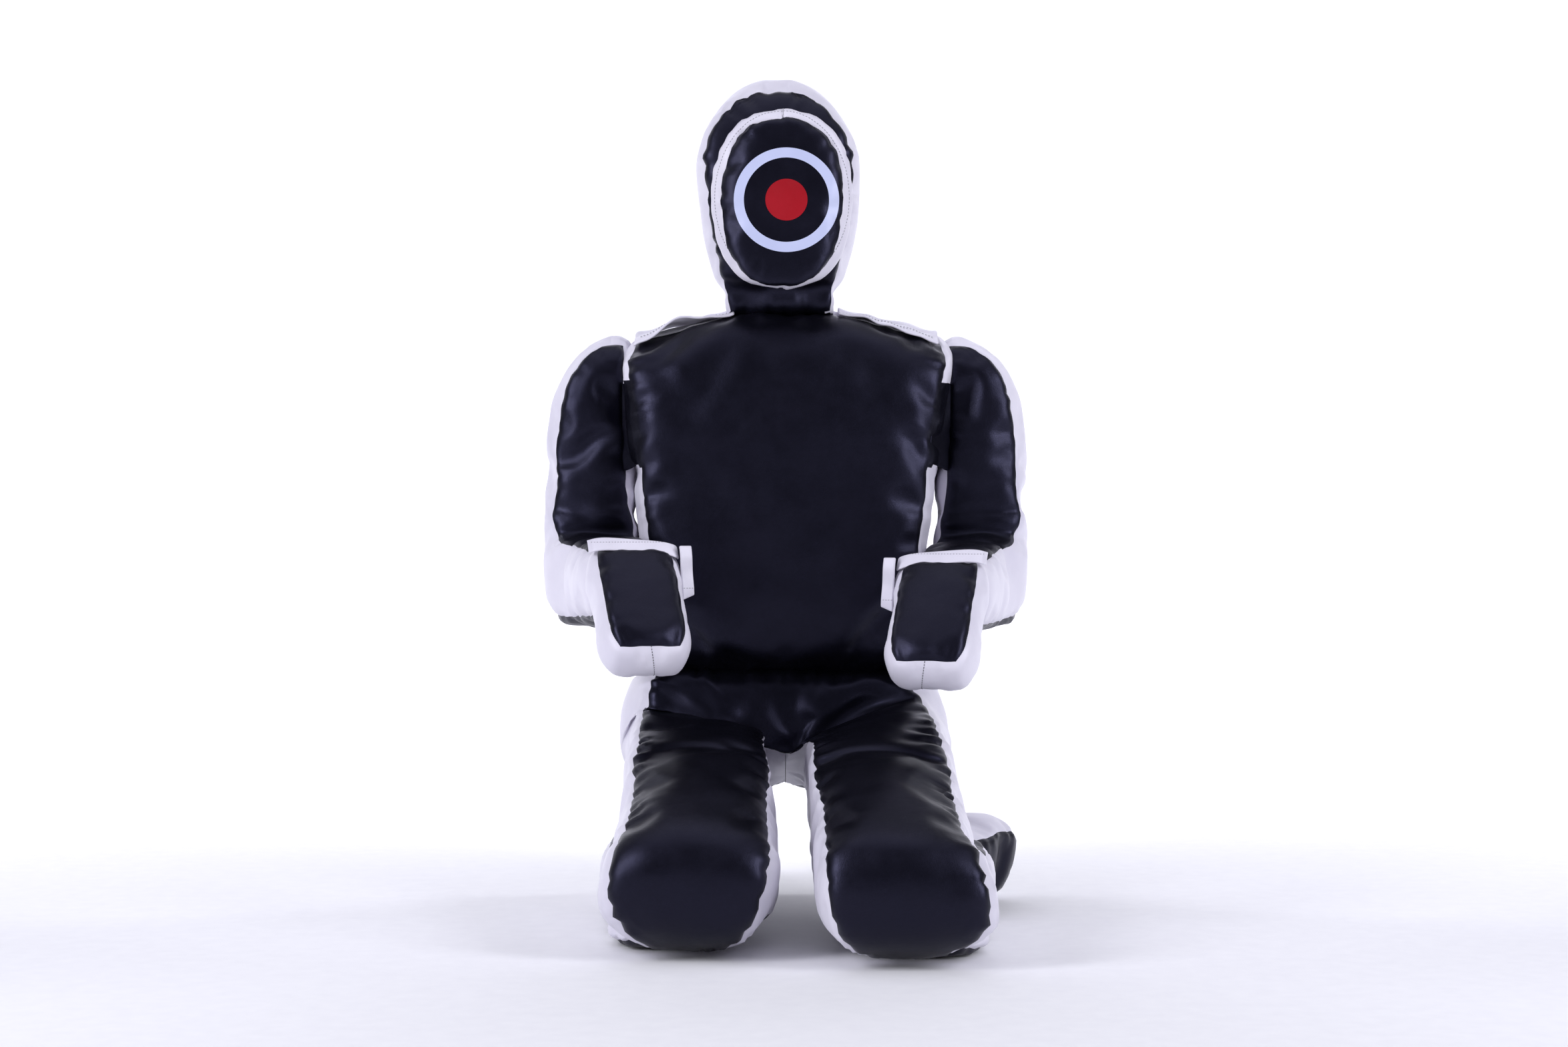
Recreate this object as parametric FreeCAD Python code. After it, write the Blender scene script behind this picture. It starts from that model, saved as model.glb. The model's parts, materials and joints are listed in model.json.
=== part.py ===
"""Life-size grappling dummy, kneeling back on its shins with both arms bent forward.

It is sewn like a boxed cushion: each segment is a firm textile filling inside a black front panel,
a black back panel and a white side gusset. Lengths are millimetres. +Z is up, the dummy faces -Y,
and the origin is on the floor under the middle of its bounding box. Side l is the dummy's left (+X).

Every segment is drawn hanging straight down in its own frame: the joint nearer the pelvis is at the
origin, the next joint is at (0, 0, -length), the front is -Y and X is across the limb. Its shape is
the overlap of a side profile (Y, Z) and a front outline (X, Z), both polygons with rounded corners.
"""
import FreeCAD, Part
import math
import os
from FreeCAD import Placement, Rotation, Vector

SKIN = 1.0          # synthetic leather
REACH = 2000.0      # larger than any segment, for half-space cuts
JOINT_GAP = 2.0     # radial room between a rounded end and the socket around it
TORSO_X = -6.2      # the torso's middle line, set so that the bounding box is centred on the origin
TORSO_Y = 191.8

# torso and pelvis
WAIST_Z = 312.0
TORSO_BOTTOM = 322.0
TORSO_TOP = 752.0
SHOULDER_HALF = 190.0
TORSO_CORNER = 45.0     # seen from above
SHOULDER_Z = 712.0
NECK_HALF = 70.0
PELVIS_TOP = 300.0
CROTCH_GAP = 8.0    # room between a thigh and the strip of pelvis between the thighs

# neck and head
NOD_Z = 770.0
NECK_DEPTH = 50.0   # half the neck's depth, and the radius it rolls on
NECK_TOP = 786.0
HEAD_BOTTOM = 788.0
HEAD_TOP = 1053.0
FACE_Y = -86.0      # head's front, from the torso's middle plane
PAD_Z = 888.0       # middle of the face pad
PAD_HALF_WIDTH = 82.0
PAD_HALF_HEIGHT = 110.0
PAD_THICK = 34.0
TARGET_Z = 884.0
TARGET_Y_GAP = 0.2
TARGET_RADII = (61.0, 50.0, 25.0)   # ring outside, ring inside, centre disc
PRINT_THICK = 0.4

# arms
SHOULDER_X = 248.0
SHOULDER_AXIS_Z = 660.0
ARM_HALF_WIDTH = 50.0
ARM_HALF_DEPTH = 52.0
ARM_TOP = 56.0      # above the shoulder axis
UPPER_ARM = 243.0
FOREARM = 268.0
FOREARM_HALF_DEPTH = 46.0
HAND = 132.0
HAND_HALF_WIDTH = 56.0
HAND_HALF_DEPTH = 32.0
HAND_NECK_HALF = 46.0   # narrower where it turns inside the wrist cuff
ELBOW_RANGE = (-6.0, 22.0)      # degrees, positive folds the forearm up
ELBOW_LIP = 30.0    # the forearm starts this far past the elbow axis
STRAP_RADIUS = 34.0
STRAP_THICK = 3.0
CUFF_THICK = 2.0
CUFF_LENGTH = 24.0
CUFF_TAB = 72.0

# legs
HIP_X = 104.0
HIP_Z = 222.0
THIGH = 440.0
HIP_HALF_DEPTH = 78.0
KNEE_RADIUS = 78.0
HIP_HALF_WIDTH = 76.0
KNEE_HALF_WIDTH = 95.0
SHIN = 388.0
SHIN_THICK = 105.0
SHIN_HALF_WIDTH = 80.0
SHIN_START = 60.0   # the shin starts this far past the knee axis
ANKLE_HALF_WIDTH = 60.0
ANKLE_CLEAR = 54.0  # the shin ends this far short of the ankle axis
THIGH_CLEAR = 4.0   # the shin lies this far under the thigh
FOOT = 176.0
FOOT_HALF_DEPTH = 38.0
FOOT_HALF_WIDTH = 50.0

# how each side is posed: degrees, splay and yaw are towards that side
POSE = {
    "l": {"sign": 1, "forearm_yaw": -14.0, "forearm_pitch": -3.0, "hand_pitch": -49.0,
          "hip_y": -45.0, "thigh_splay": 4.5, "shin_splay": 8.0, "foot_yaw": 28.0, "foot_roll": 75.0},
    "r": {"sign": -1, "forearm_yaw": -14.5, "forearm_pitch": 0.0, "hand_pitch": -47.0,
          "hip_y": 15.0, "thigh_splay": 1.5, "shin_splay": 8.0, "foot_yaw": -8.0, "foot_roll": 0.0},
}
THIGH_FALL = math.degrees(math.asin((HIP_Z - KNEE_RADIUS) / THIGH))

# shoulder closure flaps
FLAP_LENGTH = 108.0
FLAP_WIDTH = 62.0
FLAP_THICK = 3.0
FLAP_LIFT = 2.5     # the flap lies this far above the gusset, over the loop tape
FLAP_BACK_Y = 14.0
TAPE_THICK = 1.6

nodes = {}


def inset(corners, depth):
    """The polygon with every side moved inwards by depth. Corners are (u, v, radius), counter-clockwise."""
    sides = []
    count = len(corners)
    for i in range(count):
        u0, v0, _ = corners[i]
        u1, v1, _ = corners[(i + 1) % count]
        length = math.hypot(u1 - u0, v1 - v0)
        du, dv = (u1 - u0) / length, (v1 - v0) / length
        sides.append((u0 - dv * depth, v0 + du * depth, du, dv))
    moved = []
    for i in range(count):
        u0, v0, a, b = sides[i - 1]
        u1, v1, c, d = sides[i]
        cross = a * d - b * c
        step = ((u1 - u0) * d - (v1 - v0) * c) / cross
        radius = corners[i][2]
        radius = max(0.0, radius - depth if cross > 0 else radius + depth)
        moved.append((u0 + a * step, v0 + b * step, radius))
    return moved


def rounded_face(corners, to_3d):
    """A flat face from a polygon whose corners are replaced by tangent arcs."""
    edges, ends = [], []
    count = len(corners)
    for i in range(count):
        here = Vector(corners[i][0], corners[i][1], 0)
        before = Vector(corners[i - 1][0], corners[i - 1][1], 0) - here
        after = Vector(corners[(i + 1) % count][0], corners[(i + 1) % count][1], 0) - here
        before.normalize()
        after.normalize()
        radius = corners[i][2]
        half = before.getAngle(after) / 2
        cut = radius / math.tan(half)
        start, stop = here + before * cut, here + after * cut
        bisector = before + after
        bisector.normalize()
        middle = here + bisector * (radius / math.sin(half) - radius)
        ends.append((start, middle, stop, radius))
    for i in range(count):
        start, middle, stop, radius = ends[i]
        if radius > 0:
            edges.append(Part.Arc(to_3d(start), to_3d(middle), to_3d(stop)).toShape())
        following = ends[(i + 1) % count][0]
        if (following - stop).Length > 1e-6:
            edges.append(Part.LineSegment(to_3d(stop), to_3d(following)).toShape())
    return Part.Face(Part.Wire(edges))


def side_prism(profile, depth=0.0):
    """A (y, z) profile, inset by depth, carried right across X."""
    face = rounded_face(inset(profile, depth), lambda p: Vector(-REACH / 2, p.x, p.y))
    return face.extrude(Vector(REACH, 0, 0))


def front_prism(outline, depth=0.0):
    """An (x, z) outline, inset by depth, carried right through Y."""
    face = rounded_face(inset(outline, depth), lambda p: Vector(p.x, -REACH / 2, p.y))
    return face.extrude(Vector(0, REACH, 0))


def top_prism(outline, depth=0.0):
    """An (x, y) outline, inset by depth, carried right through Z."""
    face = rounded_face(inset(outline, depth), lambda p: Vector(p.x, p.y, -REACH / 2))
    return face.extrude(Vector(0, 0, REACH))


def box(x, y, z):
    """A box from three (low, high) pairs."""
    return Part.makeBox(x[1] - x[0], y[1] - y[0], z[1] - z[0], Vector(x[0], y[0], z[0]))


def roller(radius, y, z, half_length=REACH / 2, x=0.0):
    """A cylinder along X about (y, z)."""
    return Part.makeCylinder(radius, 2 * half_length, Vector(x - half_length, y, z), Vector(1, 0, 0))


def symmetric(half):
    """A closed outline from its right half, listed from bottom to top as (x, z, radius)."""
    return half + [(-x, z, radius) for x, z, radius in reversed(half)]


def without(shape, cuts):
    for tool in cuts:
        shape = shape.cut(tool)
    return shape


def solids_only(shape):
    solids = shape.removeSplitter().Solids
    return solids[0] if len(solids) == 1 else Part.Compound(solids)


def seen_from(tool, own, other):
    """A copy of tool, drawn in the frame placed at other, moved into the frame placed at own."""
    copied = tool.copy()
    copied.Placement = own.inverse().multiply(other).multiply(copied.Placement)
    return copied


def keep(name, shape, placement):
    """Stores a finished node in the row frame."""
    placed = solids_only(shape)
    placed.Placement = placement.multiply(placed.Placement)
    nodes[name] = placed


def sew(label, suffix, profile, outline, cuts, placement, split_panels=False, girth=None):
    """One sewn segment: its filling, its side gusset, and its front and back panels. girth, if given,
    is the outline seen from above."""
    outer_profile, outer_outline = side_prism(profile), front_prism(outline)
    inner_profile, inner_outline = side_prism(profile, SKIN), front_prism(outline, SKIN)
    if girth:
        outer_profile = outer_profile.common(top_prism(girth))
        inner_profile = inner_profile.common(top_prism(girth, SKIN))
    outer = outer_profile.common(outer_outline)
    filling = inner_profile.common(inner_outline)
    gusset = outer.cut(inner_outline)
    sheets = outer.common(inner_outline).cut(inner_profile)
    front = sheets.common(box((-REACH, REACH), (-REACH, 0), (-REACH, REACH)))
    back = sheets.common(box((-REACH, REACH), (0, REACH), (-REACH, REACH)))
    keep(f"{label}_filling{suffix}", without(filling, cuts), placement)
    keep(f"{label}_gusset{suffix}", without(gusset, cuts), placement)
    front, back = without(front, cuts), without(back, cuts)
    if split_panels:
        keep(f"{label}_front_panel{suffix}", front, placement)
        keep(f"{label}_back_panel{suffix}", back, placement)
    else:
        both = Part.Compound(front.Solids + back.Solids)
        keep(f"{label}_panels{suffix}", both, placement)


def at(x, y, z, yaw=0.0, lift=0.0, roll=0.0):
    """Places a segment's frame in the row frame, y from the torso's middle plane. lift swings a hanging
    segment forward, roll turns it about its own length, and yaw then turns it about the vertical."""
    turn = Rotation(Vector(0, 0, 1), yaw).multiply(Rotation(Vector(1, 0, 0), -lift))
    turn = turn.multiply(Rotation(Vector(0, 0, 1), roll))
    return Placement(Vector(x + TORSO_X, y + TORSO_Y, z), turn)


def next_joint(placement, length):
    """Where the joint at the far end of a placed segment is, relative to the torso's middle."""
    point = placement.multVec(Vector(0, 0, -length))
    return point.x - TORSO_X, point.y - TORSO_Y, point.z


def make_pelvis():
    profile = [(-88, 205, 25), (20, 150, 30), (130, 128, 40), (162, 215, 60), (128, PELVIS_TOP, 12),
               (-88, PELVIS_TOP, 12)]
    outline = symmetric([(190, 128, 40), (206, 215, 60), (168, PELVIS_TOP, 12)])
    cuts = []
    pelvis = at(0, 0, 0)
    for pose in POSE.values():
        sign = pose["sign"]
        inner = -sign * (HIP_HALF_WIDTH + CROTCH_GAP)
        radius = HIP_HALF_DEPTH + JOINT_GAP
        socket = Part.makeCylinder(radius, REACH, Vector(inner, 0, 0), Vector(sign, 0, 0))
        room = box(sorted((inner, sign * REACH)), (-REACH, 0), (-REACH, REACH))
        hip = at(sign * HIP_X, pose["hip_y"], HIP_Z, yaw=sign * pose["thigh_splay"])
        cuts += [seen_from(socket, pelvis, hip), seen_from(room, pelvis, hip)]
    sew("pelvis", "", profile, outline, cuts, pelvis)


def make_torso():
    profile = [(-92, TORSO_BOTTOM, 12), (100, TORSO_BOTTOM, 12), (108, 560, 200), (98, 700, 60),
               (58, TORSO_TOP, 12), (-58, TORSO_TOP, 12), (-98, 700, 60), (-105, 560, 200)]
    outline = symmetric([(162, TORSO_BOTTOM, 14), (164, 470, 150), (SHOULDER_HALF, SHOULDER_Z, 14),
                         (NECK_HALF, TORSO_TOP, 8)])
    socket = roller(NECK_DEPTH + JOINT_GAP, 0, NOD_Z, half_length=NECK_HALF + 6)
    w, corner = SHOULDER_HALF + 1, TORSO_CORNER
    girth = [(-w, -106, corner), (w, -106, corner), (w, 109, corner), (-w, 109, corner)]
    sew("torso", "", profile, outline, [socket], at(0, 0, 0), split_panels=True, girth=girth)


def make_neck():
    disc = roller(NECK_DEPTH, 0, NOD_Z, half_length=NECK_HALF - 4)
    stem = box((-NECK_HALF + 4, NECK_HALF - 4), (-NECK_DEPTH, NECK_DEPTH), (NOD_Z, NECK_TOP))
    keep("neck_filling", disc.fuse(stem).common(box((-REACH, REACH), (-REACH, REACH), (0, NECK_TOP))),
         at(0, 0, 0))


def make_head():
    profile = [(-52, HEAD_BOTTOM, 8), (52, HEAD_BOTTOM, 8), (88, 860, 50), (90, 1000, 60),
               (45, HEAD_TOP, 40), (-45, HEAD_TOP, 40), (FACE_Y, 1005, 50), (FACE_Y, 850, 50)]
    outline = symmetric([(66, HEAD_BOTTOM, 8), (99, 905, 90), (101, 975, 60), (80, 1030, 45),
                         (34, HEAD_TOP, 60)])
    sew("head", "", profile, outline, [], at(0, 0, 0), split_panels=True)


def make_face_pad():
    w, h = PAD_HALF_WIDTH, PAD_HALF_HEIGHT
    z = PAD_Z
    outline = symmetric([(0.45 * w, z - h, 25), (0.86 * w, z - 0.62 * h, 60), (w, z, 90),
                         (0.86 * w, z + 0.66 * h, 50), (0.45 * w, z + h, 30)])
    front, back = FACE_Y - 1 - PAD_THICK, FACE_Y - 1
    slab = box((-REACH, REACH), (front, back), (0, REACH))
    core = box((-REACH, REACH), (front + SKIN, back), (0, REACH))
    outer, inner = front_prism(outline), front_prism(outline, SKIN)
    keep("face_pad_filling", inner.common(core), at(0, 0, 0))
    keep("face_pad_gusset", outer.common(slab).cut(inner), at(0, 0, 0))
    keep("face_pad_panel", inner.common(slab).cut(core), at(0, 0, 0))
    facing = Vector(0, -1, 0)
    centre = Vector(0, front - TARGET_Y_GAP, TARGET_Z)
    outside, inside, disc = (Part.makeCylinder(r, PRINT_THICK, centre, facing) for r in TARGET_RADII)
    keep("target_ring", outside.cut(inside), at(0, 0, 0))
    keep("target_disc", disc, at(0, 0, 0))


def make_flap(side):
    """The filling opening's flap on a shoulder slope, hinged along its back edge, and its loop tape."""
    sign = POSE[side]["sign"]
    run, fall = SHOULDER_HALF - NECK_HALF, TORSO_TOP - SHOULDER_Z
    slope = math.degrees(math.atan2(fall, run))
    middle = Vector(sign * (NECK_HALF + run / 2), 0, (TORSO_TOP + SHOULDER_Z) / 2)
    lie = Placement(Vector(TORSO_X, TORSO_Y, 0) + middle, Rotation(Vector(0, 1, 0), sign * slope))
    half = FLAP_LENGTH / 2
    flap = box((-half, half), (FLAP_BACK_Y - FLAP_WIDTH, FLAP_BACK_Y), (FLAP_LIFT, FLAP_LIFT + FLAP_THICK))
    keep(f"shoulder_flap_{side}", flap, lie)
    tape = box((-half + 8, half - 8), (FLAP_BACK_Y - FLAP_WIDTH + 6, FLAP_BACK_Y - FLAP_WIDTH + 26),
               (0.3, 0.3 + TAPE_THICK))
    tape.Placement = lie
    return tape


def make_arm(side):
    pose = POSE[side]
    sign, suffix = pose["sign"], "_" + side
    shoulder = (sign * SHOULDER_X, 0, SHOULDER_AXIS_Z)

    gap = SHOULDER_X - ARM_HALF_WIDTH - SHOULDER_HALF
    strap_x = sign * (SHOULDER_HALF + gap / 2)
    strap = roller(STRAP_RADIUS, 0, SHOULDER_AXIS_Z, STRAP_THICK / 2, strap_x)
    keep("arm_root_strap" + suffix, strap, at(0, 0, 0))

    w, d = ARM_HALF_WIDTH, ARM_HALF_DEPTH
    end = -UPPER_ARM - d
    profile = [(-d, end, d - 1), (d, end, d - 1), (d, ARM_TOP, 30), (-d, ARM_TOP, 30)]
    outer_corner, inner_corner = (44, 10) if sign > 0 else (10, 44)
    outline = [(-w, end - 5, 0), (w, end - 5, 0), (w, ARM_TOP, outer_corner), (-w, ARM_TOP, inner_corner)]
    sew("upper_arm", suffix, profile, outline, [], at(*shoulder))

    # the forearm wraps the elbow's rounded end, and is cut clear of it over the whole fold
    upper_arm = at(*shoulder)
    f = FOREARM_HALF_DEPTH
    elbow = next_joint(upper_arm, UPPER_ARM)
    yaw = sign * pose["forearm_yaw"]
    forearm = at(*elbow, yaw=yaw, lift=90 + pose["forearm_pitch"])
    socket = roller(d + JOINT_GAP, 0, -UPPER_ARM)
    above = box((-REACH / 2, REACH / 2), (-d - JOINT_GAP, REACH), (-UPPER_ARM, REACH))
    wrist = roller(HAND_HALF_DEPTH + JOINT_GAP, 0, -FOREARM)
    palm_room = box((-REACH / 2, REACH / 2), (0, REACH), (-REACH, -FOREARM + HAND_HALF_DEPTH + 4))
    cuts = [wrist, palm_room]
    for fold in (ELBOW_RANGE[0], 0.0, ELBOW_RANGE[1] / 2, ELBOW_RANGE[1]):
        folded = Placement(Vector(0, 0, 0), Rotation(Vector(1, 0, 0), fold))
        for tool in (socket, above):
            cut = seen_from(tool, forearm, upper_arm)
            cut.Placement = folded.multiply(cut.Placement)
            cuts.append(cut)
    profile = [(-f, -FOREARM, 3), (f, -FOREARM, 3), (d, -ELBOW_LIP, 0), (-d, -ELBOW_LIP, 0)]
    outline = [(-w, -FOREARM, 10), (w, -FOREARM, 10), (w, -ELBOW_LIP, 0), (-w, -ELBOW_LIP, 0)]
    sew("forearm", suffix, profile, outline, cuts, forearm)

    outside = box((-w - CUFF_THICK - 0.3, w + CUFF_THICK + 0.3), (-f - CUFF_THICK - 1, -f + CUFF_TAB),
                  (-FOREARM, -FOREARM + CUFF_LENGTH))
    hollow = box((-w - 0.3, w + 0.3), (-f - 1, REACH), (-REACH, REACH))
    keep("wrist_cuff" + suffix, outside.cut(hollow), forearm)

    h, half = HAND_HALF_DEPTH, HAND_HALF_WIDTH
    profile = [(-h, -HAND, 12), (h, -HAND, 12), (h, h, h - 1), (-h, h, h - 1)]
    neck = HAND_NECK_HALF
    outline = symmetric([(half, -HAND, 40), (half, -66, 16), (neck, -48, 16), (neck, h, 8)])
    hand = at(*next_joint(forearm, FOREARM), yaw=yaw, lift=90 + pose["hand_pitch"])
    sew("hand", suffix, profile, outline, [], hand)


def make_leg(side):
    pose = POSE[side]
    sign, suffix = pose["sign"], "_" + side
    d, k = HIP_HALF_DEPTH, KNEE_RADIUS
    end = -THIGH - k + 1
    profile = [(-k, end, k - 1), (k, end, k - 1), (d, d, d - 1), (-d, d, d - 1)]
    outline = [(-KNEE_HALF_WIDTH, end, 28), (KNEE_HALF_WIDTH, end, 28), (HIP_HALF_WIDTH, d, 8),
               (-HIP_HALF_WIDTH, d, 8)]
    thigh = at(sign * HIP_X, pose["hip_y"], HIP_Z, yaw=sign * pose["thigh_splay"], lift=90 - THIGH_FALL)
    sew("thigh", suffix, profile, outline, [], thigh)

    # the shin lies on the floor and fills the wedge under the thigh
    top = SHIN_THICK - k
    end = -SHIN + ANKLE_CLEAR
    profile = [(-k, end, 10), (top, end, 25), (top, -SHIN_START, 0), (-k, -SHIN_START, 0)]
    outline = [(-ANKLE_HALF_WIDTH, end, 22), (ANKLE_HALF_WIDTH, end, 22),
               (SHIN_HALF_WIDTH, -SHIN_START, 0), (-SHIN_HALF_WIDTH, -SHIN_START, 0)]
    shin = at(*next_joint(thigh, THIGH), yaw=-sign * pose["shin_splay"], lift=-90)
    knee = roller(k + JOINT_GAP, 0, -THIGH)
    above = box((-REACH, REACH), (-REACH, k + THIGH_CLEAR), (-REACH, REACH))
    sew("shin", suffix, profile, outline, [seen_from(knee, shin, thigh), seen_from(above, shin, thigh)], shin)

    # the foot rests on the floor, on its front panel or rolled towards its side
    roll = math.radians(pose["foot_roll"])
    h, half = FOOT_HALF_DEPTH, FOOT_HALF_WIDTH
    x, y, _ = next_joint(shin, SHIN)
    z = h * math.cos(roll) + half * math.sin(roll)
    profile = [(-h, -FOOT, 18), (h, -FOOT, 18), (h, h, h - 2), (-h, h, h - 2)]
    outline = [(-half, -FOOT, 36), (half, -FOOT, 36), (half, h, 34), (-half, h, 34)]
    foot = at(x, y, z, yaw=-sign * pose["foot_yaw"], lift=-90, roll=sign * pose["foot_roll"])
    sew("foot", suffix, profile, outline, [], foot)


def main():
    make_pelvis()
    make_torso()
    make_neck()
    make_head()
    make_face_pad()
    tapes = [make_flap(side) for side in POSE]
    nodes["shoulder_loop_tapes"] = Part.Compound(tapes)
    for side in POSE:
        make_arm(side)
        make_leg(side)
    os.makedirs("parts", exist_ok=True)
    for old in os.listdir("parts"):
        os.remove(os.path.join("parts", old))
    for name, shape in sorted(nodes.items()):
        shape.exportStep(os.path.join("parts", name + ".step"))
    whole = Part.Compound(list(nodes.values())).BoundBox
    print("nodes", len(nodes))
    print("x", round(whole.XMin, 1), round(whole.XMax, 1), "y", round(whole.YMin, 1), round(whole.YMax, 1),
          "z", round(whole.ZMin, 1), round(whole.ZMax, 1))


main()
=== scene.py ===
"""Looks for the kneeling grappling dummy: boxed pillows of black and white synthetic leather."""
import json
import math
import random

import bmesh
import bpy
import numpy as np
from mathutils import Matrix, Vector, kdtree, noise


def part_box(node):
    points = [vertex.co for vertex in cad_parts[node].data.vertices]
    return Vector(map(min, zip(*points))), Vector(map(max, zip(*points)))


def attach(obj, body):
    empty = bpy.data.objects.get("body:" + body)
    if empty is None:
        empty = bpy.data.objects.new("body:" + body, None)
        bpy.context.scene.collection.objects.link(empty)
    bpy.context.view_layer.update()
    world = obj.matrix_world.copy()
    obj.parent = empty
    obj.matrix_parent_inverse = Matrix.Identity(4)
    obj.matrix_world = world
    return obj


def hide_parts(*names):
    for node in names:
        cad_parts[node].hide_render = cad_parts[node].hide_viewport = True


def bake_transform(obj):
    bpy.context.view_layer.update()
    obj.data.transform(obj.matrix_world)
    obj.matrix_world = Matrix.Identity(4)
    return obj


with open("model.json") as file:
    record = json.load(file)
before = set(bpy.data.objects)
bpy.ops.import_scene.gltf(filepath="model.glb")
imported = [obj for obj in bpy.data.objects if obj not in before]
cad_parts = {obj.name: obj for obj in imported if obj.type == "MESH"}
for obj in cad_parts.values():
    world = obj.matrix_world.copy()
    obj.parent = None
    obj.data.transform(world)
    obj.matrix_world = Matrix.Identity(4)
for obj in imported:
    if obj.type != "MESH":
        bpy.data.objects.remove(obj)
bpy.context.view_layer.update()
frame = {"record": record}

JOINTS = {joint["name"]: joint for joint in frame["record"]["behaviour"]["joints"]}
SIDES = {"l": (1, "left"), "r": (-1, "right")}
CELL = 0.0095           # mesh spacing before the one subdivision
FRONT, BACK, GUSSET = 0, 1, 2
HIP_ROWS = [4, 5, 7]    # rows between the hips' ribs, the same on both sides of the middle plane
CLOTH_FRAMES = 20
TORSO_TOP = 0.76       # height of the torso at the neck, before the shoulders slope away
TARGET_HEIGHT = 0.886   # middle of the face pad
LEG_HALF = 0.074        # half the depth of a thigh
FLOOR_GAP = 0.0008      # how far the flattened underside stays above the floor
DOWN, AHEAD = Vector((0, 0, -1)), Vector((0, 1, 0))

# Shapes are drawn about an upright line through the neck and moved to it when a mesh is made.
MIDDLE = Vector(JOINTS["neck_nod"]["pos_m"])
MIDDLE.z = 0.0


def joint_at(name):
    return Vector(JOINTS[name]["pos_m"]) - MIDDLE


def joint_axis(name):
    return Vector(JOINTS[name]["axis"])


def new_object(name, data):
    obj = bpy.data.objects.new(name, data)
    bpy.context.collection.objects.link(obj)
    return obj


def smooth(mesh):
    for polygon in mesh.polygons:
        polygon.use_smooth = True


def object_from(maker, name):
    """Puts what a mesh maker holds in the scene as a smooth object."""
    mesh = bpy.data.meshes.new(name)
    maker.to_mesh(mesh)
    maker.free()
    smooth(mesh)
    return new_object(name, mesh)


def cleaned_object(name, points, faces, regions=None, near=1e-5):
    """A mesh from lists of points and faces, with points that coincide merged. One that has regions
    is closed, and is turned to face outwards."""
    mesh = bpy.data.meshes.new(name)
    mesh.from_pydata([tuple(p) for p in points], [], faces)
    if regions:
        mesh.polygons.foreach_set("material_index", regions)
    maker = bmesh.new()
    maker.from_mesh(mesh)
    bmesh.ops.remove_doubles(maker, verts=maker.verts, dist=near)
    if regions:
        bmesh.ops.recalc_face_normals(maker, faces=maker.faces)
    maker.to_mesh(mesh)
    maker.free()
    return new_object(name, mesh)


def apply_modifiers(obj):
    graph = bpy.context.evaluated_depsgraph_get()
    mesh = bpy.data.meshes.new_from_object(obj.evaluated_get(graph))
    obj.modifiers.clear()
    obj.data = mesh
    smooth(mesh)


# ---- sewn pillows

def level(*rows):
    """Ribs whose front and back are at one height, each (front y, back y, z, lowest x, highest x)."""
    return [(front, z, back, z, left, right) for front, back, z, left, right in rows]


def smooth_rows(ribs, spacing, counts=None):
    """Control ribs, each a tuple of numbers whose first four are (front y, z, back y, z), resampled
    by a monotone cubic: evenly along their length, or with a stated count of rows between ribs."""
    ribs = np.array(ribs, float)
    steps = np.diff(ribs[:, :4], axis=0)
    lengths = 0.5 * (np.hypot(steps[:, 0], steps[:, 1]) + np.hypot(steps[:, 2], steps[:, 3])) + 1e-6
    if counts:
        lengths = np.ones(len(ribs) - 1)
    at = np.concatenate([[0.0], np.cumsum(lengths)])
    slopes = np.zeros_like(ribs)
    secants = np.diff(ribs, axis=0) / lengths[:, None]
    slopes[0], slopes[-1] = secants[0], secants[-1]
    for i in range(1, len(ribs) - 1):
        before, after = secants[i - 1], secants[i]
        product = before * after
        slopes[i] = np.where(product > 0, 2 * product / (before + after + 1e-12 * (before + after == 0)), 0.0)
    count = max(4, int(round(at[-1] / spacing)))
    places = np.linspace(0.0, at[-1], count + 1)
    if counts:
        places = [k + n / c for k, c in enumerate(counts) for n in range(c)] + [at[-1]]
    rows = []
    for s in places:
        k = min(int(np.searchsorted(at, s, side="right")) - 1, len(lengths) - 1)
        h = lengths[k]
        t = (s - at[k]) / h
        rows.append((2 * t ** 3 - 3 * t ** 2 + 1) * ribs[k] + (t ** 3 - 2 * t ** 2 + t) * h * slopes[k]
                    + (3 * t ** 2 - 2 * t ** 3) * ribs[k + 1] + (t ** 3 - t ** 2) * h * slopes[k + 1])
    return np.array(rows)


def crown(u, v, power=2.5):
    """How far a panel stands proud at (u, v), each from -1 to 1: 1 in the middle, 0 at its edges."""
    return max(0.0, (1 - abs(u) ** power) * (1 - abs(v) ** power)) ** 0.6


def add_gusset(verts, faces, front_line, back_line, outwards, bulges, steps, closed=False):
    """Joins two lines of vertices by rows of faces that stand proud between them."""
    lines = [front_line]
    for k in range(1, steps):
        t = k / steps
        line = []
        for f, b, outward, bulge in zip(front_line, back_line, outwards, bulges):
            line.append(len(verts))
            verts.append(verts[f].lerp(verts[b], t) + outward * bulge * math.sin(math.pi * t) ** 0.7)
        lines.append(line)
    lines.append(back_line)
    size = len(front_line)
    for k in range(steps):
        for n in range(size if closed else size - 1):
            m = (n + 1) % size
            faces.append(((lines[k][n], lines[k + 1][n], lines[k + 1][m], lines[k][m]), GUSSET))


def add_grid(faces, index, side, backward=False):
    """Faces between the rows of a grid of vertices."""
    for upper, lower in zip(index, index[1:]):
        for i in range(len(upper) - 1):
            quad = (upper[i], upper[i + 1], lower[i + 1], lower[i])
            faces.append((quad[::-1] if backward else quad, side))


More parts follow.
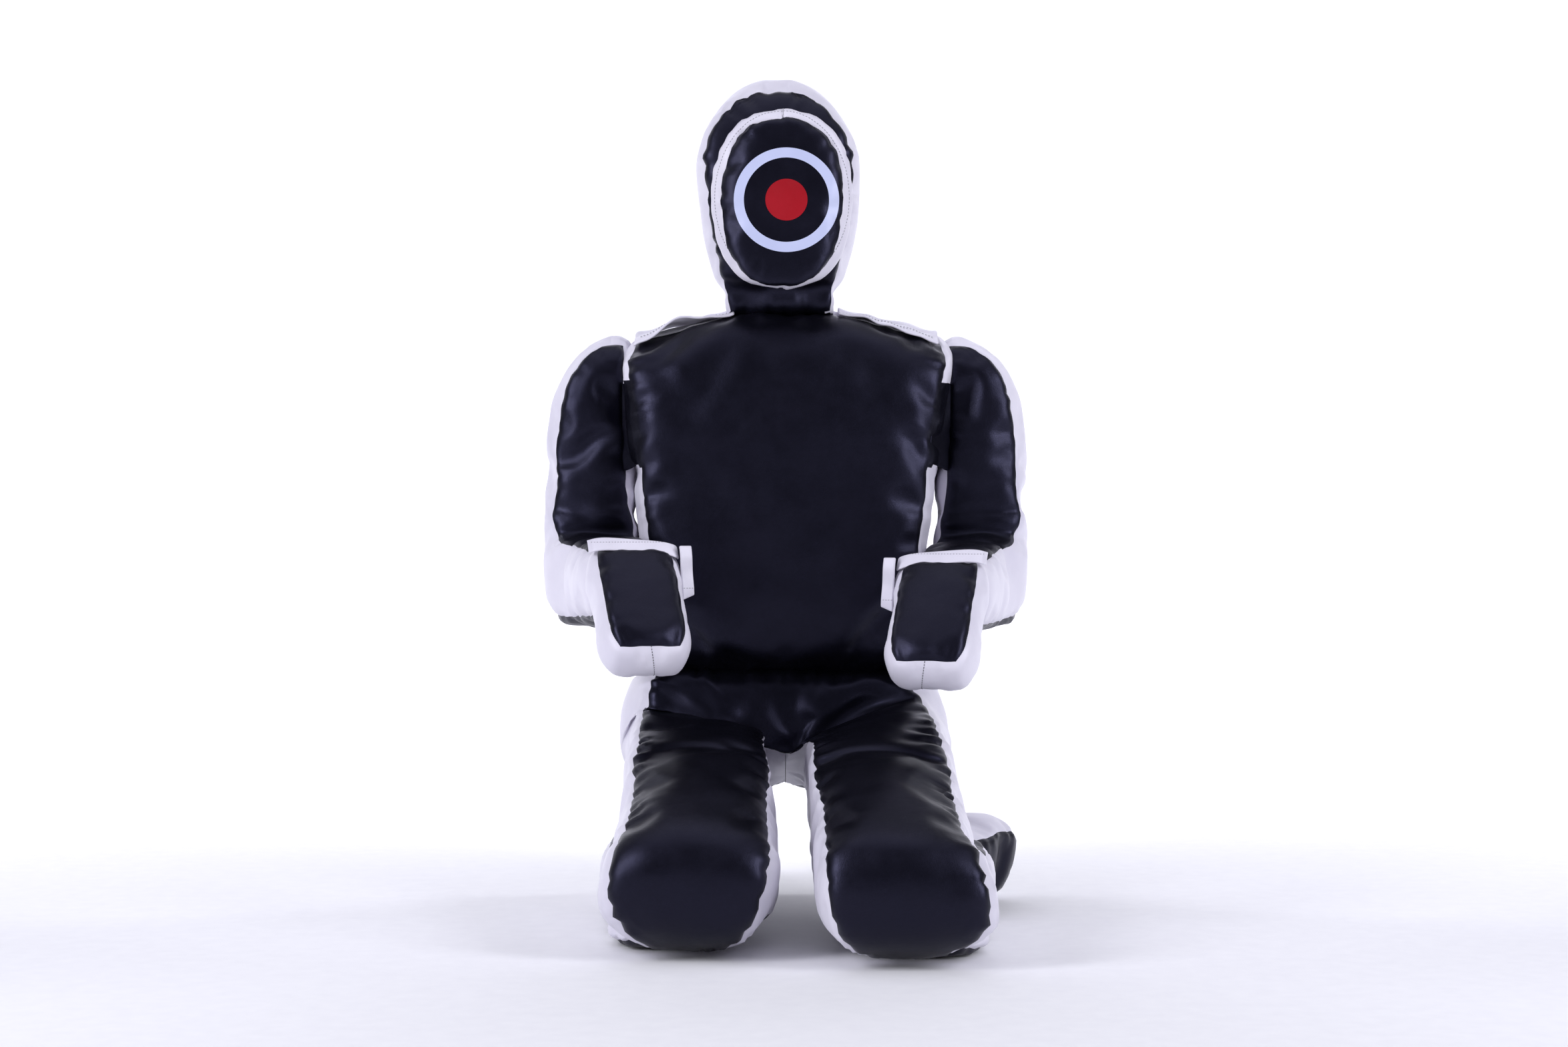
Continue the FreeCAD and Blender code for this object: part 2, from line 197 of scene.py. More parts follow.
class Pillow:
    """A boxed cushion: a front grid, a back grid and a gusset ring between their edges."""

    def __init__(self, name, ribs, columns, swell=0.012, bulge=0.01, spacing=CELL):
        self.name = name
        self.verts = []
        self.faces = []
        self.rows = smooth_rows(ribs, spacing)
        self.columns = columns
        self.swell = swell
        self.bulge = bulge

    def point(self, row, a, side):
        """Point on a row's front or back, at a from 0 to 1 across."""
        fy, fz, by, bz, x0, x1 = row[:6]
        x = x0 + (x1 - x0) * a
        return Vector((x, fy, fz)) if side == FRONT else Vector((x, by, bz))

    def grid(self, side):
        last = len(self.rows) - 1
        index = []
        for j, row in enumerate(self.rows):
            line = []
            for i in range(self.columns + 1):
                a = i / self.columns
                here, there = self.point(row, a, side), self.point(row, a, BACK - side)
                outward = (here - there).normalized()
                lift = self.swell * crown(2 * a - 1, 2 * j / last - 1)
                line.append(len(self.verts))
                self.verts.append(here + outward * lift)
            index.append(line)
        add_grid(self.faces, index, side, backward=side == BACK)
        return index

    def build(self):
        front, back = self.grid(FRONT), self.grid(BACK)
        loops = []
        for g in (front, back):
            right = [line[-1] for line in g[1:-1]]
            left = [line[0] for line in g[1:-1]]
            loops.append(list(g[0]) + right + list(g[-1][::-1]) + left[::-1])
        self.ring(loops[0], loops[1])
        return self.finish()

    def ring(self, front_loop, back_loop):
        verts, count = self.verts, len(front_loop)
        centre = sum((verts[k] for k in front_loop + back_loop), Vector()) / (2 * count)
        depth = sum((verts[f] - verts[b]).length for f, b in zip(front_loop, back_loop)) / count
        outwards = []
        for n in range(count):
            along = (verts[front_loop[(n + 3) % count]] - verts[front_loop[n - 3]]).normalized()
            across = (verts[back_loop[n]] - verts[front_loop[n]]).normalized()
            outwards.append(across.cross(along))
        if sum(outwards[n].dot(verts[front_loop[n]] - centre) for n in range(count)) < 0:
            outwards = [-outward for outward in outwards]
        add_gusset(verts, self.faces, front_loop, back_loop, outwards, [self.bulge] * count,
                   max(3, int(round(depth / CELL))), closed=True)

    def finish(self):
        faces, regions = zip(*self.faces)
        return cleaned_object(self.name, [v + MIDDLE for v in self.verts], faces, regions)


def transform(obj, function):
    for v in obj.data.vertices:
        v.co = function(v.co - MIDDLE) + MIDDLE
    obj.data.update()


def with_normals(obj):
    """Each vertex with its normal as it is now, before any vertex is moved."""
    vertices = obj.data.vertices
    return zip(vertices, [v.normal.copy() for v in vertices])


def seam_vertices(mesh):
    """Vertices on edges between faces of different regions, and those edges."""
    regions = {}
    for polygon in mesh.polygons:
        for key in polygon.edge_keys:
            regions.setdefault(key, set()).add(polygon.material_index)
    edges = [key for key, found in regions.items() if len(found) > 1]
    return sorted({k for key in edges for k in key}), edges


# ---- cloth

def dress(obj):
    """Adds the cloth that fills a pillow out: panels a little long, seams a little short."""
    seam, _ = seam_vertices(obj.data)
    sewn = obj.vertex_groups.new(name="sewn")
    sewn.add(seam, 1.0, "REPLACE")
    held = obj.vertex_groups.new(name="held")
    held.add(list(range(len(obj.data.vertices))), 0.12, "REPLACE")
    modifier = obj.modifiers.new("Cloth", "CLOTH")
    cloth = modifier.settings
    for key, value in {"quality": 5, "mass": 0.3, "tension_stiffness": 18, "compression_stiffness": 12,
                       "shear_stiffness": 6, "bending_stiffness": 2.5, "use_pressure": True,
                       "uniform_pressure_force": 2.5, "vertex_group_mass": held.name, "pin_stiffness": 0.6,
                       "vertex_group_shrink": sewn.name, "shrink_min": -0.035, "shrink_max": 0.03}.items():
        setattr(cloth, key, value)
    cloth.effector_weights.gravity = 0.0
    modifier.collision_settings.use_collision = False
    modifier.collision_settings.use_self_collision = False
    modifier.point_cache.frame_start = 1
    modifier.point_cache.frame_end = CLOTH_FRAMES


# how deep the gathers are, and how far the cloth may move, by the first word of a pillow's name
GATHERS = {"legs": 0.0034, "head": 0.0028, "face": 0.0022, "hand": 0.0009, "arm": 0.0016, "torso": 0.0014}
CAPS = {"torso": 0.007, "head": 0.005, "face": 0.004, "legs": 0.0045, "arm": 0.005, "hand": 0.0035,
        "shin": 0.007, "foot": 0.006}


def simulate(pillows):
    """Runs all the cloth together, then applies it with each vertex's move capped for its pillow."""
    scene = bpy.context.scene
    for number in range(1, CLOTH_FRAMES + 1):
        scene.frame_set(number)
    graph = bpy.context.evaluated_depsgraph_get()
    for obj in pillows:
        rest, moved = (np.empty(len(obj.data.vertices) * 3) for _ in range(2))
        obj.data.vertices.foreach_get("co", rest)
        obj.evaluated_get(graph).data.vertices.foreach_get("co", moved)
        move = (moved - rest).reshape(-1, 3)
        if not np.isfinite(move).all():
            move = np.zeros_like(move)
        length = np.linalg.norm(move, axis=1, keepdims=True)
        move *= np.minimum(1.0, CAPS[obj.name.split("_")[0]] / np.maximum(length, 1e-9))
        obj.modifiers.clear()
        obj.vertex_groups.clear()
        obj.data.vertices.foreach_set("co", (rest.reshape(-1, 3) + move).ravel())
        obj.data.update()
    scene.frame_set(1)


def subdivide(obj):
    modifier = obj.modifiers.new("Smooth", "SUBSURF")
    modifier.levels = 1
    modifier.render_levels = 1
    apply_modifiers(obj)


def seam_loops(edges):
    """Seam edges joined into ordered loops of vertex numbers."""
    neighbours = {}
    for a, b in edges:
        neighbours.setdefault(a, []).append(b)
        neighbours.setdefault(b, []).append(a)
    left = set(neighbours)
    loops = []
    while left:
        start = min(left)
        loop = [start]
        left.discard(start)
        while True:
            following = [k for k in neighbours[loop[-1]] if k in left]
            if not following:
                break
            loop.append(following[0])
            left.discard(following[0])
        loops.append(loop)
    return loops


def gather(obj, seed, depth, every, reach):
    """Sinks the seams into a groove and adds the short creases that run off them where the
    panel was gathered in sewing, at uneven spacing."""
    groove, groove_width = 0.0016, 0.0035
    mesh = obj.data
    _, edges = seam_vertices(mesh)
    maker = random.Random(seed)
    marks = []
    for loop in seam_loops(edges):
        travelled, target = 0.0, every * maker.uniform(0.4, 1.0)
        creases = []
        positions = [0.0]
        for a, b in zip(loop, loop[1:]):
            travelled += (mesh.vertices[a].co - mesh.vertices[b].co).length
            positions.append(travelled)
            if travelled > target:
                creases.append((travelled, maker.uniform(0.3, 1.0), maker.uniform(0.0035, 0.007),
                                maker.uniform(0.6, 2.2)))
                target = travelled + every * maker.uniform(0.5, 1.6)
        for k, at in zip(loop, positions):
            close = [(at - c, s, w, r) for c, s, w, r in creases if abs(at - c) < 0.03]
            marks.append((mesh.vertices[k].co.copy(), close))
    tree = kdtree.KDTree(len(marks))
    for number, (co, _) in enumerate(marks):
        tree.insert(co, number)
    tree.balance()
    for v, normal in with_normals(obj):
        _, number, distance = tree.find(v.co)
        if distance > 3 * reach:
            continue
        push = groove * math.exp(-(distance / groove_width) ** 2)
        for away, strength, width, length in marks[number][1]:
            fade = math.exp(-(distance / (reach * length)) ** 2)
            push += depth * strength * fade * math.exp(-(away / width) ** 2)
            push -= 0.45 * depth * strength * fade * math.exp(-((abs(away) - 2.2 * width) / width) ** 2)
        v.co -= normal * push
    mesh.update()


def ripple(obj, seed, height=0.0022, size=0.09):
    """Low, slow waves where the filling is packed unevenly."""
    offset = Vector((seed * 7.3, seed * 3.1, seed * 5.7))
    for v, normal in with_normals(obj):
        value = noise.noise(v.co / size + offset) + 0.45 * noise.noise(v.co / (size * 0.42) + offset)
        v.co += normal * value * height
    obj.data.update()


def crease(obj, start, end, depth, width):
    """A soft valley (depth above 0) or ridge (below 0) along a line, fading past both its ends."""
    past = 0.15
    a, b = Vector(start) + MIDDLE, Vector(end) + MIDDLE
    line = b - a
    for v, normal in with_normals(obj):
        t = (v.co - a).dot(line) / line.length_squared
        away = (v.co - a - line * max(0.0, min(1.0, t))).length
        if not -past <= t <= 1 + past or away > 4 * width:
            continue
        along = max(0.0, min(1.0, (t + past) / (1 + 2 * past)))
        fade = max(0.0, math.sin(math.pi * along)) ** 0.6
        ridge = math.exp(-(away / width) ** 2) - 0.35 * math.exp(-((away - 2.0 * width) / width) ** 2)
        v.co -= normal * depth * fade * ridge
    obj.data.update()


def rest_on_floor(obj, soft=0.006):
    """Flattens what would sink below the floor, rounding off the last few millimetres."""
    for v in obj.data.vertices:
        if v.co.z < soft:
            share = max(0.0, (v.co.z + soft) / (2 * soft))
            v.co.z = FLOOR_GAP + share ** 2 * (soft - FLOOR_GAP)
    obj.data.update()


def split(obj, names, keep):
    """Separates a pillow into pieces by region, with a name each for front, back and gusset.
    keep, if given, says for a face's centre whether it belongs to these pieces."""
    pieces = {}
    for region, name in zip((FRONT, BACK, GUSSET), names):
        maker = bmesh.new()
        maker.from_mesh(obj.data)
        unwanted = [f for f in maker.faces if f.material_index != region
                    or (keep is not None and not keep(f.calc_center_median()))]
        bmesh.ops.delete(maker, geom=unwanted, context="FACES")
        for f in maker.faces:
            f.material_index = 0
        pieces[name] = object_from(maker, name)
    return pieces


# ---- shapes

def make_torso():
    ribs = level((-0.074, 0.082, 0.3, -0.168, 0.159), (-0.094, 0.1, 0.325, -0.172, 0.163),
                 (-0.098, 0.104, 0.42, -0.17, 0.163), (-0.098, 0.104, 0.5, -0.178, 0.172),
                 (-0.098, 0.104, 0.59, -0.188, 0.184), (-0.094, 0.098, 0.66, -0.194, 0.194),
                 (-0.08, 0.086, 0.712, -0.197, 0.2), (-0.05, 0.056, 0.745, -0.196, 0.2),
                 (-0.026, 0.03, TORSO_TOP, -0.194, 0.198))
    obj = Pillow("torso", ribs, 40, swell=0.012, bulge=0.006).build()

    def slope(p):
        top = TORSO_TOP - 0.033 * min(1.0, max(0.0, abs(p.x) - 0.06) / 0.13)
        share = max(0.0, (p.z - 0.56) / 0.2)
        return Vector((p.x, p.y, p.z + (top - TORSO_TOP) * min(1.0, share) ** 1.5))

    transform(obj, slope)
    return obj


def make_head():
    """Neck and head as one pillow, round at the top."""
    ribs = []
    for front, z, back, middle, half in (
            (-0.046, 0.748, 0.05, -0.007, 0.067), (-0.052, 0.775, 0.056, -0.009, 0.07),
            (-0.064, 0.806, 0.07, -0.009, 0.078), (-0.074, 0.845, 0.08, -0.009, 0.088),
            (-0.078, 0.894, 0.084, -0.009, 0.095), (-0.078, 0.94, 0.084, -0.01, 0.097),
            (-0.074, 0.974, 0.08, -0.011, 0.089), (-0.069, 0.995, 0.075, -0.012, 0.077),
            (-0.063, 1.014, 0.069, -0.013, 0.06), (-0.057, 1.028, 0.063, -0.013, 0.039),
            (-0.052, 1.035, 0.058, -0.013, 0.019)):
        ribs.append((front, z, back, z, middle - half, middle + half))
    obj = Pillow("head", ribs, 20, swell=0.012, bulge=0.002).build()

    def dome(p):
        share = min(1.0, max(0.0, (p.z - 0.965) / 0.06))
        return Vector((p.x, p.y, p.z + 0.016 * share * max(0.0, 1 - ((p.y - 0.006) / 0.055) ** 2)))

    transform(obj, dome)
    return obj


def make_face_pad():
    """The raised oval pad: wider at its base than in front, with a slightly uneven edge."""
    low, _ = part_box("face_pad_gusset")
    front = low.y - MIDDLE.y
    base = front + 0.036
    ribs = []
    for t in (-1.0, -0.93, -0.8, -0.6, -0.3, 0.0, 0.3, 0.6, 0.8, 0.93, 1.0):
        squareness = 2.2 if t > 0 else 3.5
        half = 0.071 * math.sqrt(max(0.0, 1 - abs(t) ** squareness)) + 0.006
        if t < 0:
            half *= 1 + 0.1 * t
        tilt = 0.006 * t
        ribs.append((front + 0.006 + tilt, 0.8865 + 0.1085 * t, base, 0.896 + 0.111 * t,
                     -0.001 - half, 0.001 + half))
    obj = Pillow("face_pad", ribs, 17, swell=0.007, bulge=0.005, spacing=0.0085).build()

    def flare(p):
        share = min(1.0, max(0.0, (p.y - front) / (base - front)))
        wander = 0.032 * noise.noise(Vector((p.x * 26, 3.0, p.z * 26))) - 0.03 * (p.x < 0) * (p.z > 0.93)
        uneven = 1 + (1 - share) * wander
        return Vector((p.x * uneven * (1 + 0.1 * share) - 0.0054, p.y,
                       TARGET_HEIGHT + (p.z - TARGET_HEIGHT) * uneven))

    transform(obj, flare)
    return obj


def make_arm(side):
    """Upper arm and forearm as one pillow, drawn straight ahead and then turned at the elbow."""
    sign, word = SIDES[side]
    elbow, wrist = joint_at("elbow_" + word), joint_at("wrist_" + word)
    ribs = []
    for z, out, inner in ((0.718, 0.224, 0.209), (0.704, 0.252, 0.206), (0.68, 0.274, 0.204),
                          (0.64, 0.287, 0.203), (0.59, 0.293, 0.201), (0.5, 0.296, 0.2)):
        half = 0.047 if z < 0.7 else 0.036 if z < 0.715 else 0.024
        ribs.append([-half, z, half, z, out, inner])
    top = elbow.z + 0.044
    ribs += [[-0.05, 0.478, 0.048, 0.452, 0.297, 0.198], [-0.06, top + 0.006, 0.044, 0.414, 0.297, 0.198],
             [-0.07, top, 0.026, 0.384, 0.297, 0.198], [-0.084, top - 0.002, -0.006, 0.37, 0.296, 0.199],
             [-0.11, top - 0.002, -0.052, 0.368, 0.295, 0.2],
             [-0.16, top - 0.003, -0.13, 0.368, 0.294, 0.202],
             [-0.22, top - 0.004, -0.205, 0.37, 0.294, 0.203],
             [-0.262, top - 0.008, -0.258, 0.376, 0.293, 0.204]]
    for rib in ribs:
        rib[4:] = sorted(sign * x for x in rib[4:])
    obj = Pillow("arm_" + side, ribs, 11, swell=0.008, bulge=0.009).build()
    axis = joint_axis("elbow_" + word)
    yaw = math.atan2(-axis.y, -axis.x)
    pitch = math.atan2(wrist.z - elbow.z, (wrist - elbow).xy.length)

    def bend(p):
        share = min(1.0, max(0.0, (-0.03 - p.y) / 0.06))
        share = share * share * (3 - 2 * share) if p.z < elbow.z + 0.075 else 0.0
        raised = Matrix.Rotation(-pitch * share, 3, "X") @ (p - elbow)
        return elbow + Matrix.Rotation(yaw * share, 3, "Z") @ raised

    transform(obj, bend)
    return obj


def heading(node, origin, across, flat=False):
    """Direction from a joint to the middle of a CAD node, square to the joint's axis."""
    low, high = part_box(node)
    toward = (low + high) / 2 - MIDDLE - origin
    if flat:
        toward.z = 0.0
    return (toward - across * toward.dot(across)).normalized()


def hanging(obj, origin, across, along):
    """Moves a segment drawn pointing down -Z, front -Y, to its place: across is its +X."""
    depth = (-along).cross(across).normalized()
    basis = Matrix((across, depth, -along)).transposed()
    transform(obj, lambda p: origin + basis @ p)
    return obj


def make_hand(side):
    _, word = SIDES[side]
    origin, across = joint_at("wrist_" + word), -joint_axis("wrist_" + word)
    h = 0.029
    ribs = level((-0.024, 0.022, 0.034, -0.044, 0.044), (-h, h, 0.014, -0.048, 0.048),
                 (-h - 0.001, h, -0.02, -0.0495, 0.0495), (-h - 0.001, h, -0.055, -0.05, 0.05),
                 (-h, h, -0.085, -0.049, 0.049), (-h, h, -0.108, -0.045, 0.045),
                 (-h + 0.001, h, -0.123, -0.036, 0.036))
    obj = Pillow("hand_" + side, ribs, 12, swell=0.006, bulge=0.007).build()
    return hanging(obj, origin, across, heading("hand_filling_" + side, origin, across))


def make_legs():
    """Both legs and the hips as one pillow, joined on the middle plane above the crotch."""
    pillow = Pillow("legs", [[0] * 6, [1] * 6], 18, swell=0.0)
    widths = {
        "l": ((0.156, 0.158, 0.161, 0.168, 0.176, 0.186, 0.191, 0.195, 0.2, 0.21, 0.219,
               0.221, 0.188, 0.15),
              (0.0, 0.0, 0.0, 0.0, 0.024, 0.03, 0.034, 0.036, 0.038, 0.039, 0.041, 0.048, 0.072, 0.1)),
        "r": ((0.166, 0.168, 0.171, 0.175, 0.179, 0.182, 0.183, 0.184, 0.188, 0.194, 0.197,
               0.193, 0.162, 0.125),
              (0.0, 0.0, 0.0, 0.0, 0.026, 0.026, 0.022, 0.018, 0.016, 0.015, 0.02, 0.03, 0.055, 0.085))}
    parts = []
    for side, (sign, word) in SIDES.items():
        ribs = []
        for points, x_out, x_in in zip(leg_outline(word), *widths[side]):
            fo, fi, bo, bi = points if len(points) == 4 else (points[0], points[0], points[1], points[1])
            ribs.append([*[(a + b) / 2 for a, b in zip(fo + bo, fi + bi)], *fo, *fi, *bo, *bi, x_out, x_in])
        lengths = [math.hypot(b[0] - a[0], b[1] - a[1]) + math.hypot(b[2] - a[2], b[3] - a[3])
                   for a, b in zip(ribs, ribs[1:])]
        counts = HIP_ROWS + [max(2, round(0.5 * n / CELL)) for n in lengths[len(HIP_ROWS):]]
        parts.append((sign, smooth_rows(ribs, CELL, counts)))
    crotch = sum(HIP_ROWS)
    (_, left), (_, right) = parts
    for j in range(crotch + 1):
        right[j][6:8] = left[j][6:8]
        right[j][10:12] = left[j][10:12]
    for sign, rows in parts:
        add_leg(pillow, sign, rows, crotch)
    return pillow.finish()


def leg_outline(word):
    """A leg's ribs from the waist over the knee to the floor, as points (y, z): front and back, or,
    where they differ, front outer, front inner, back outer, back inner."""
    hip, knee = joint_at("hip_" + word), joint_at("knee_" + word)
    fall = (hip.z - knee.z) / (hip.y - knee.y)
    k = knee.y

    def top(y):
        return hip.z + fall * (y - hip.y) + LEG_HALF

    def under(y):
        return (y, max(0.03, hip.z + fall * (y - hip.y) - LEG_HALF))

    y4, y5, y6, y7 = (hip.y + (k - hip.y) * share for share in (0.24, 0.42, 0.62, 0.82))
    return [((-0.074, 0.303), (0.082, 0.303)),
            ((-0.084, 0.294), (-0.088, 0.272), (0.128, 0.272), (0.128, 0.272)),
            ((-0.094, 0.288), (-0.088, 0.228), (0.148, 0.206), (0.146, 0.206)),
            ((-0.108, top(-0.108)), (-0.082, 0.197), (0.136, 0.148), (0.092, 0.148)),
            ((y4, top(y4)), (y4 + 0.02, top(y4) - 0.04), (0.092, 0.136), (0.05, 0.146)),
            ((y5, top(y5)), (y5, top(y5) - 0.008), (0.0, 0.142), (0.0, 0.14)),
            ((y6, top(y6)), (y6, top(y6) - 0.004), under(y5 - 0.02), under(y5 - 0.02)),
            ((y7, top(y7)), under(y6)),
            ((k - 0.01, 0.148), under(y7)),
            ((k - 0.05, 0.128), (k + 0.066, 0.036)),
            ((k - 0.071, 0.092), (k + 0.06, 0.031)),
            ((k - 0.068, 0.05), (k + 0.058, 0.027)),
            ((k - 0.042, 0.016), (k + 0.056, 0.023)),
            ((k - 0.004, 0.003), (k + 0.054, 0.018))]


def add_leg(pillow, sign, rows, crotch):
    """One leg: its front and back grids, its outer gusset, its inner one below the crotch, its ends."""
    columns, last = pillow.columns, len(rows) - 1
    verts, faces = pillow.verts, pillow.faces
    grids = []
    for side in (FRONT, BACK):
        index = []
        for j, row in enumerate(rows):
            faced = (row[4:6], row[6:8]), (row[8:10], row[10:12])
            (outer, inner), other = faced if side == FRONT else faced[::-1]
            across_from, shared = (other[0] + other[1]) / 2, other[1]
            x_out, x_in = row[-2], row[-1] if j > crotch else 0.0
            line = []
            for i in range(columns + 1):
                a = i / columns
                y, z = outer * (1 - a) + inner * a
                there = across_from * (1 - a) + shared * a if j <= crotch else across_from
                outward = Vector((0, y - there[0], z - there[1])).normalized()
                u = a - 1 if j <= crotch else 2 * a - 1
                knee = math.exp(-((j / last - 0.72) / 0.16) ** 2) if side == FRONT else 0.0
                lift = 0.013 * crown(u, 0.0) + 0.016 * knee * (1 - u * u) - 0.008 * knee
                lift *= min(1.0, j / 8, (last - j) / 8) ** 0.5
                line.append(len(verts))
                verts.append(Vector((sign * (x_out + (x_in - x_out) * a), y, z)) + outward * lift)
            index.append(line)
        add_grid(faces, index, side)
        grids.append(index)
    front, back = grids

    def strip(front_line, back_line, outward, bulges):
        add_gusset(verts, faces, front_line, back_line, [Vector(outward)] * len(front_line), bulges, 14)

    size = last + 1
    ends = [min(1.0, j / 4, (last - j) / 4) for j in range(size)]
    hips = [ends[j] * (0.013 + 0.027 * math.exp(-((j - 0.75 * crotch) / (0.7 * crotch)) ** 2))
            for j in range(size)]
    strip([line[0] for line in front], [line[0] for line in back], (sign, 0, 0), hips)
    size = last + 1 - crotch
    sunk = 0.009 if sign < 0 else 0.0
    bulge = [(0.003 - sunk * (j < 0.55 * size)) * min(1.0, j / 6, (size - 1 - j) / 4) for j in range(size)]
    strip([line[-1] for line in front[crotch:]], [line[-1] for line in back[crotch:]], (-sign, 0, 0), bulge)
    flat = [0.0] * (columns + 1)
    strip(front[0], back[0], (0, 0, 1), flat)
    strip(front[-1], back[-1], (0, 1, -0.2), flat)


def make_shin(side):
    """A shin folded back under its thigh, thin at the knee and thicker towards the ankle."""
    _, word = SIDES[side]
    knee, ankle = joint_at("knee_" + word), joint_at("ankle_" + word)
    run = (ankle - knee).xy
    across = Vector((run.y, -run.x, 0)).normalized()
    along = Vector((run.x, run.y, 0)).normalized()
    ribs = [(s, floor, s, roof, -half, half) for s, floor, roof, half in (
        (0.01, 0.015, 0.023, 0.048), (0.034, 0.006, 0.025, 0.064), (0.08, 0.003, 0.03, 0.075),
        (0.16, 0.003, 0.052, 0.073), (0.23, 0.003, 0.074, 0.07), (0.29, 0.003, 0.09, 0.065),
        (0.33, 0.005, 0.093, 0.06), (0.358, 0.014, 0.082, 0.052), (0.372, 0.024, 0.066, 0.04))]
    obj = Pillow("shin_" + side, ribs, 14, swell=0.003, bulge=0.006).build()
    start = Vector((knee.x, knee.y, 0))
    transform(obj, lambda p: start + along * p.y + across * p.x + Vector((0, 0, p.z)))
    return obj


def make_foot(side):
    _, word = SIDES[side]
    origin, across = joint_at("ankle_" + word), joint_axis("ankle_" + word)
    h = 0.034
    ribs = level((-0.022, 0.022, 0.036, -0.03, 0.03), (-h + 0.003, h - 0.003, 0.022, -0.04, 0.04),
                 (-h, h, -0.02, -0.044, 0.044), (-h, h, -0.08, -0.046, 0.046),
                 (-h, h, -0.125, -0.045, 0.045), (-h + 0.002, h - 0.002, -0.152, -0.036, 0.036),
                 (-h + 0.006, h - 0.006, -0.166, -0.022, 0.022))
    obj = Pillow("foot_" + side, ribs, 10, swell=0.004, bulge=0.006).build()
    return hanging(obj, origin, across, heading("foot_filling_" + side, origin, across, flat=True))


def sheet(name, lines):
    """A mesh through lines of points."""
    maker = bmesh.new()
    rows = [[maker.verts.new(point) for point in line] for line in lines]
    for a, b in zip(rows, rows[1:]):
        for j in range(len(a) - 1):
            maker.faces.new((a[j], b[j], b[j + 1], a[j + 1]))
    return object_from(maker, name)


def slab(name, surface, across, along, thick):
    """A thin sheet: surface(u, v) gives its middle, u and v from 0 to 1."""
    obj = sheet(name, [[surface(i / across, j / along) + MIDDLE for j in range(along + 1)]
                       for i in range(across + 1)])
    thicken = obj.modifiers.new("Thick", "SOLIDIFY")
    thicken.thickness = thick
    thicken.offset = 0.0
    rounded = obj.modifiers.new("Edge", "BEVEL")
    rounded.width = thick * 0.4
    rounded.segments = 2
    rounded.limit_method = "ANGLE"
    apply_modifiers(obj)
    return obj


def join(objects):
    """Joins meshes into the first object."""
    maker = bmesh.new()
    for obj in objects:
        maker.from_mesh(obj.data)
    maker.to_mesh(objects[0].data)
    maker.free()
    for obj in objects[1:]:
        bpy.data.objects.remove(obj)
    smooth(objects[0].data)
    return objects[0]


def probe(obj, origin, direction):
    """Where a ray from origin meets a mesh, and its normal there, or None."""
    hit, point, normal, _ = obj.ray_cast(origin, direction)
    return (point, normal) if hit else None


def on_shoulder(torso, x, y):
    """The height of the torso's own surface at a place on its shoulder."""
    found = probe(torso, Vector((x, y, 1.2)) + MIDDLE, DOWN)
    return found[0].z if found else 0.72


def make_flap(side, torso):
    """A shoulder flap, lying on the torso but for one hump at its front edge."""
    sign, _ = SIDES[side]
    arch, peak = (0.004, 0.45) if side == "l" else (0.017, 0.6)

    def surface(u, v):
        x, y = 0.066 + 0.126 * u, 0.018 - 0.072 * v
        hump = math.exp(-((u - peak) / 0.22) ** 2)
        lift = 0.0045 + arch * v * v * hump + 0.001 * math.sin(17 * u + 3 * sign)
        return Vector((sign * x, y - 0.002 * v, on_shoulder(torso, sign * x, y) + lift))

    return slab(f"flap_{side}_leather", surface, 40, 22, 0.003)


def make_tapes(torso):
    """The loop tapes under the two flaps, as one piece."""
    halves = []
    for sign, _ in SIDES.values():
        def surface(u, v, sign=sign):
            x, y = 0.082 + 0.1 * u, -0.018 - 0.02 * v
            return Vector((sign * x, y, on_shoulder(torso, sign * x, y) + 0.0014))
        halves.append(slab("shoulder_tapes", surface, 30, 6, 0.0016))
    return join(halves)


def make_arm_root(side):
    """A flat sewn strip between the arm and the torso's side."""
    sign, _ = SIDES[side]
    low, high, half, t = 0.655, 0.716, 0.032, 0.0036
    ribs = level((-t * 0.5, t * 0.5, high, -half * 0.8, half * 0.8), (-t, t, high - 0.01, -half, half),
                 (-t, t, low + 0.01, -half, half), (-t * 0.5, t * 0.5, low, -half * 0.8, half * 0.8))
    obj = Pillow("arm_root_strip_" + side, ribs, 10, swell=0.002, bulge=0.002).build()
    transform(obj, lambda p: Vector((sign * 0.1945 + p.y, p.x, p.z)))
    return obj


def make_web(side):
    """The black web that closes the gap between the torso's front and the arm under the white strip."""
    sign, _ = SIDES[side]
    edge = 0.0 if side == "l" else -0.002

    def surface(u, v):
        inner = 0.176 + 0.01 * (1 - v) + edge
        sag = 0.004 * math.sin(math.pi * u)
        z = 0.668 - 0.112 * v + 0.003 * math.sin(5 * u)
        return Vector((sign * (inner + (0.207 - inner) * u), -0.091 + 0.044 * u + sag, z))

    return slab("underarm_web_" + side, surface, 14, 26, 0.003)


